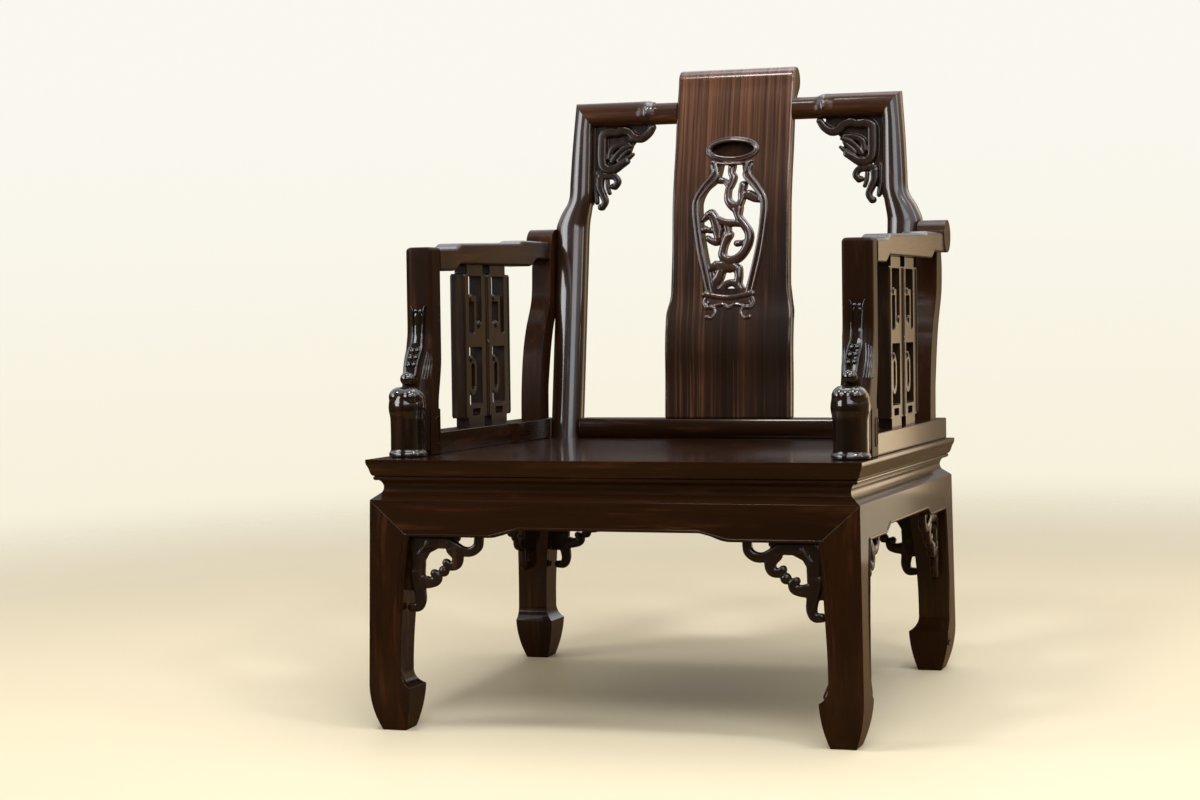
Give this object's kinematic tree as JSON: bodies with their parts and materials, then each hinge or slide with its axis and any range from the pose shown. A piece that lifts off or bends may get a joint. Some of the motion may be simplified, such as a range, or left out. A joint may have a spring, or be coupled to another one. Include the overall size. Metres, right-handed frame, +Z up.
{
  "type": "armchair",
  "caption": "Low carved hardwood armchair with a square framed back, pierced scrolled splat, stepped arms, cusped aprons and inward hoof feet.",
  "frame": {"origin": "on the floor, under the centre of the chair's bounding box", "axes": "+X to the right of a person facing the chair, +Y to the back, +Z up"},
  "size_m": [0.7, 0.7498, 0.9307],
  "materials": {
    "lacquered_rosewood": "dark reddish brown hardwood under a glossy clear lacquer",
    "carved_rosewood": "carved dark hardwood, waxed and satin",
    "figured_rosewood": "streaky red-brown hardwood under a glossy clear lacquer",
    "plain_rosewood": "plain hardwood, left matt under the seat"
  },
  "bodies": {
    "root": {"apron_back": "lacquered_rosewood", "apron_front": "lacquered_rosewood", "apron_left": "lacquered_rosewood", "apron_right": "lacquered_rosewood", "arm_fret_left": "carved_rosewood", "arm_fret_right": "carved_rosewood", "arm_post_left": "lacquered_rosewood", "arm_post_right": "lacquered_rosewood", "arm_rail_left": "lacquered_rosewood", "arm_rail_right": "lacquered_rosewood", "arm_scroll_left": "lacquered_rosewood", "arm_scroll_right": "lacquered_rosewood", "back_spandrel_left": "carved_rosewood", "back_spandrel_right": "carved_rosewood", "back_upright_left": "lacquered_rosewood", "back_upright_right": "lacquered_rosewood", "batten_left": "plain_rosewood", "batten_right": "plain_rosewood", "bracket_back_left": "carved_rosewood", "bracket_back_right": "carved_rosewood", "bracket_front_left": "carved_rosewood", "bracket_front_right": "carved_rosewood", "bracket_left_back": "carved_rosewood", "bracket_left_front": "carved_rosewood", "bracket_right_back": "carved_rosewood", "bracket_right_front": "carved_rosewood", "leg_back_left": "lacquered_rosewood", "leg_back_right": "lacquered_rosewood", "leg_front_left": "lacquered_rosewood", "leg_front_right": "lacquered_rosewood", "plinth_back": "lacquered_rosewood", "plinth_left": "lacquered_rosewood", "plinth_right": "lacquered_rosewood", "seat_panel": "lacquered_rosewood", "seat_rail_back": "lacquered_rosewood", "seat_rail_front": "lacquered_rosewood", "seat_rail_left": "lacquered_rosewood", "seat_rail_right": "lacquered_rosewood", "splat": "figured_rosewood", "top_rail_left": "lacquered_rosewood", "top_rail_right": "lacquered_rosewood", "waist_back": "lacquered_rosewood", "waist_front": "lacquered_rosewood", "waist_left": "lacquered_rosewood", "waist_right": "lacquered_rosewood"}
  },
  "joints": []
}
